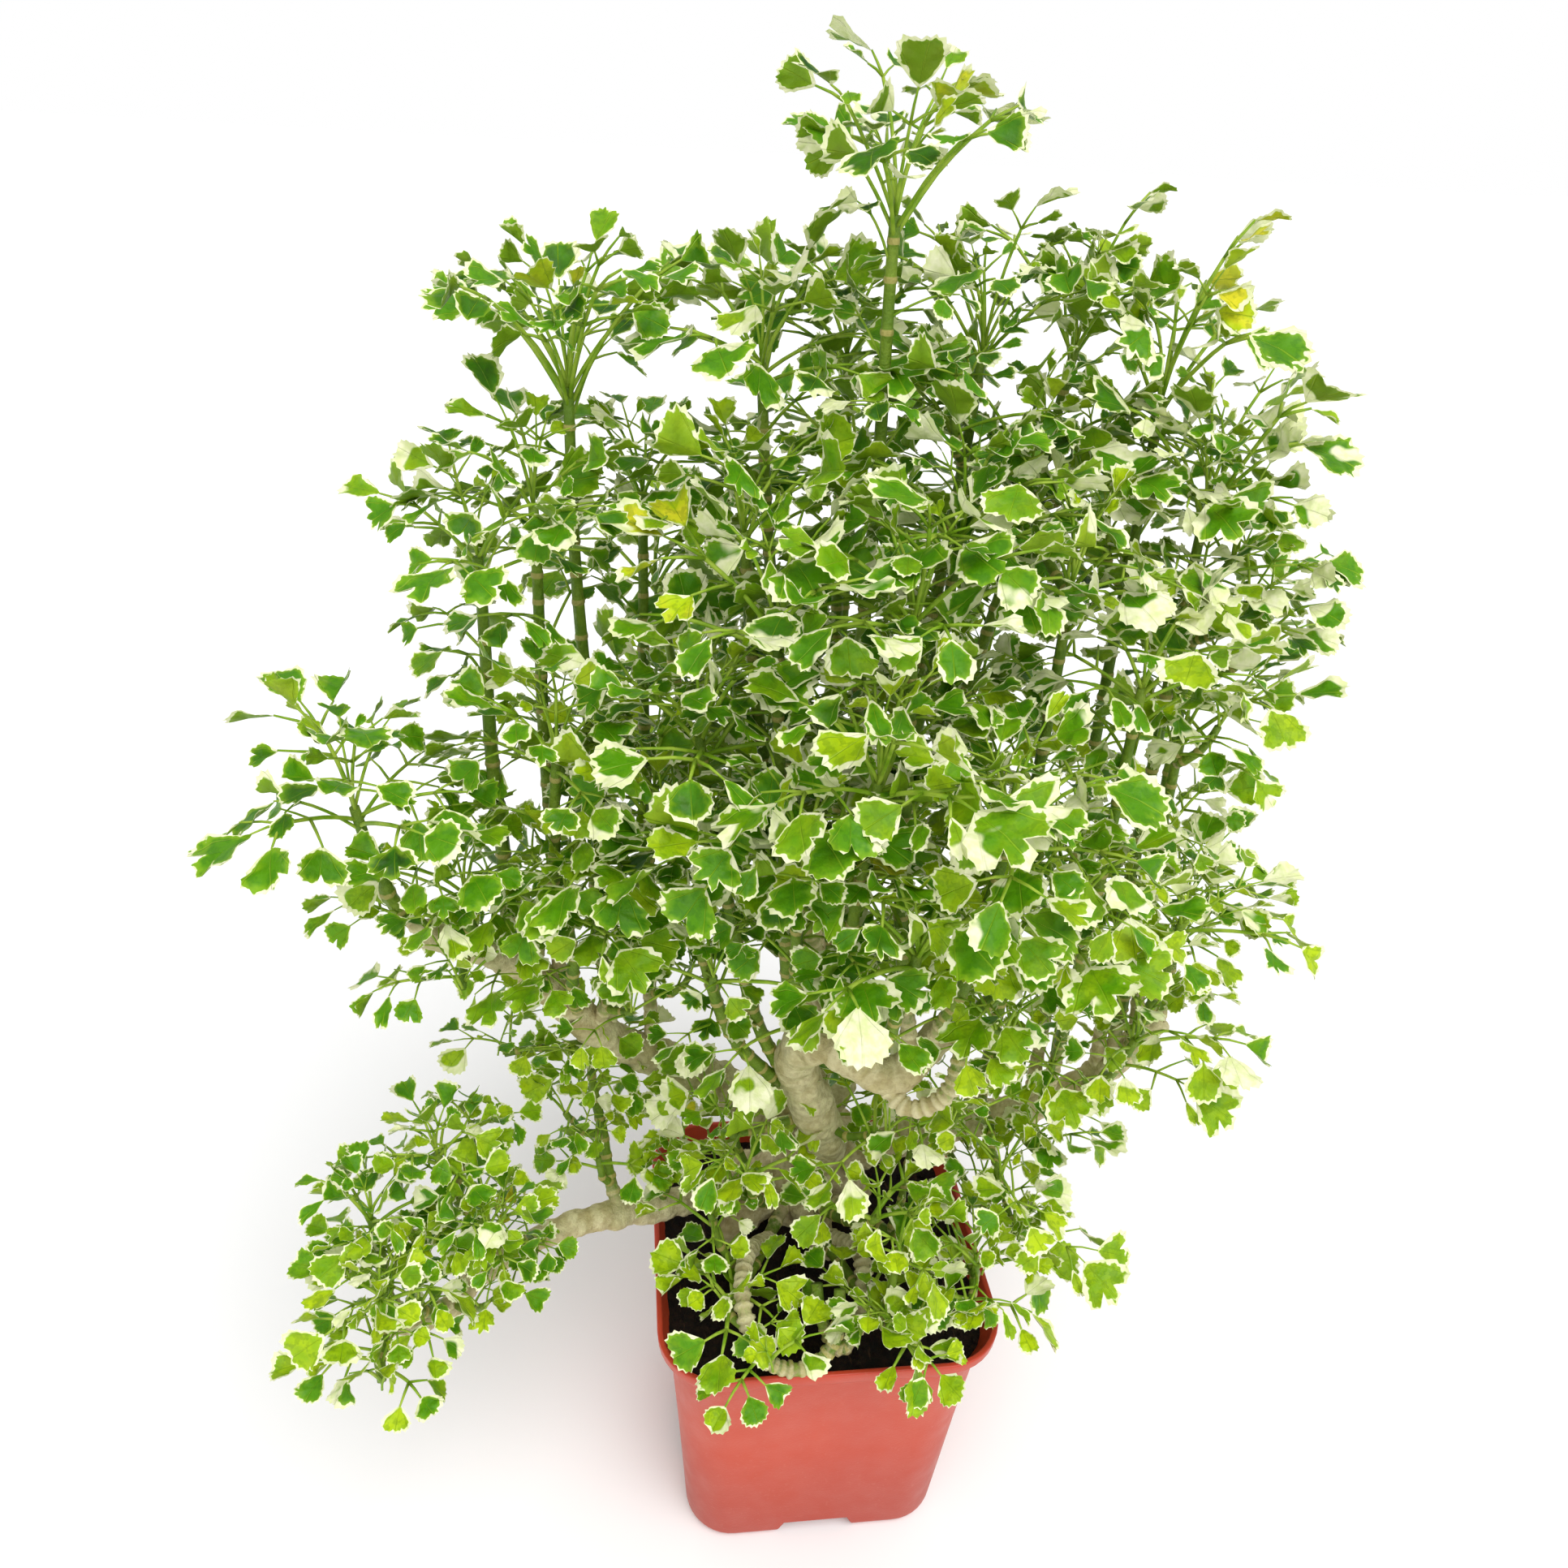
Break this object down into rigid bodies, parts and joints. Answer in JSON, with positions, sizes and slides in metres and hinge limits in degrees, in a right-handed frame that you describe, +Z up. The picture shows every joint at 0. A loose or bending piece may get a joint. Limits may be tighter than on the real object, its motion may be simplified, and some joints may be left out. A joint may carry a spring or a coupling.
{
  "type": "potted variegated aralia",
  "caption": "Bushy variegated aralia with a gnarled trunk, spreading boughs and whorls of small cream-edged leaves, in a square plastic nursery pot.",
  "frame": {"origin": "centre of the pot's underside, on the surface it stands on", "axes": "+Z up along the pot's axis, +X to the right and +Y to the back, square to the pot's sides"},
  "size_m": [0.3011, 0.2158, 0.4199],
  "materials": {
    "pot_plastic": "satin moulded plastic",
    "soil": "damp crumbly potting soil",
    "wood": "grey-beige bark on the trunk and boughs, green ringed canes",
    "leaf": "soft satin leaf, green with a cream edge"
  },
  "bodies": {
    "root": {"pot": "pot_plastic", "soil": "soil", "trunk": "wood", "bough_back": "wood", "bough_front": "wood", "bough_leader": "wood", "bough_left_high": "wood", "bough_left_low": "wood", "bough_right": "wood", "leaves_back_1": "leaf", "leaves_back_2": "leaf", "leaves_back_3": "leaf", "leaves_back_4": "leaf", "leaves_back_5": "leaf", "leaves_back_6": "leaf", "leaves_basal_1": "leaf", "leaves_basal_2": "leaf", "leaves_basal_3": "leaf", "leaves_basal_4": "leaf", "leaves_basal_5": "leaf", "leaves_front_1": "leaf", "leaves_front_2": "leaf", "leaves_front_3": "leaf", "leaves_front_4": "leaf", "leaves_front_5": "leaf", "leaves_front_6": "leaf", "leaves_front_7": "leaf", "leaves_front_8": "leaf", "leaves_front_9": "leaf", "leaves_leader_1": "leaf", "leaves_leader_2": "leaf", "leaves_leader_3": "leaf", "leaves_leader_4": "leaf", "leaves_leader_5": "leaf", "leaves_leader_6": "leaf", "leaves_leader_7": "leaf", "leaves_left_high_1": "leaf", "leaves_left_high_2": "leaf", "leaves_left_high_3": "leaf", "leaves_left_high_4": "leaf", "leaves_left_high_5": "leaf", "leaves_left_high_6": "leaf", "leaves_left_high_7": "leaf", "leaves_left_high_8": "leaf", "leaves_left_high_9": "leaf", "leaves_left_low_1": "leaf", "leaves_left_low_2": "leaf", "leaves_left_low_3": "leaf", "leaves_left_low_4": "leaf", "leaves_left_low_5": "leaf", "leaves_left_low_6": "leaf", "leaves_right_1": "leaf", "leaves_right_2": "leaf", "leaves_right_3": "leaf", "leaves_right_4": "leaf", "leaves_right_5": "leaf", "leaves_right_6": "leaf", "leaves_right_7": "leaf", "leaves_right_8": "leaf", "leaves_right_9": "leaf"}
  },
  "joints": []
}
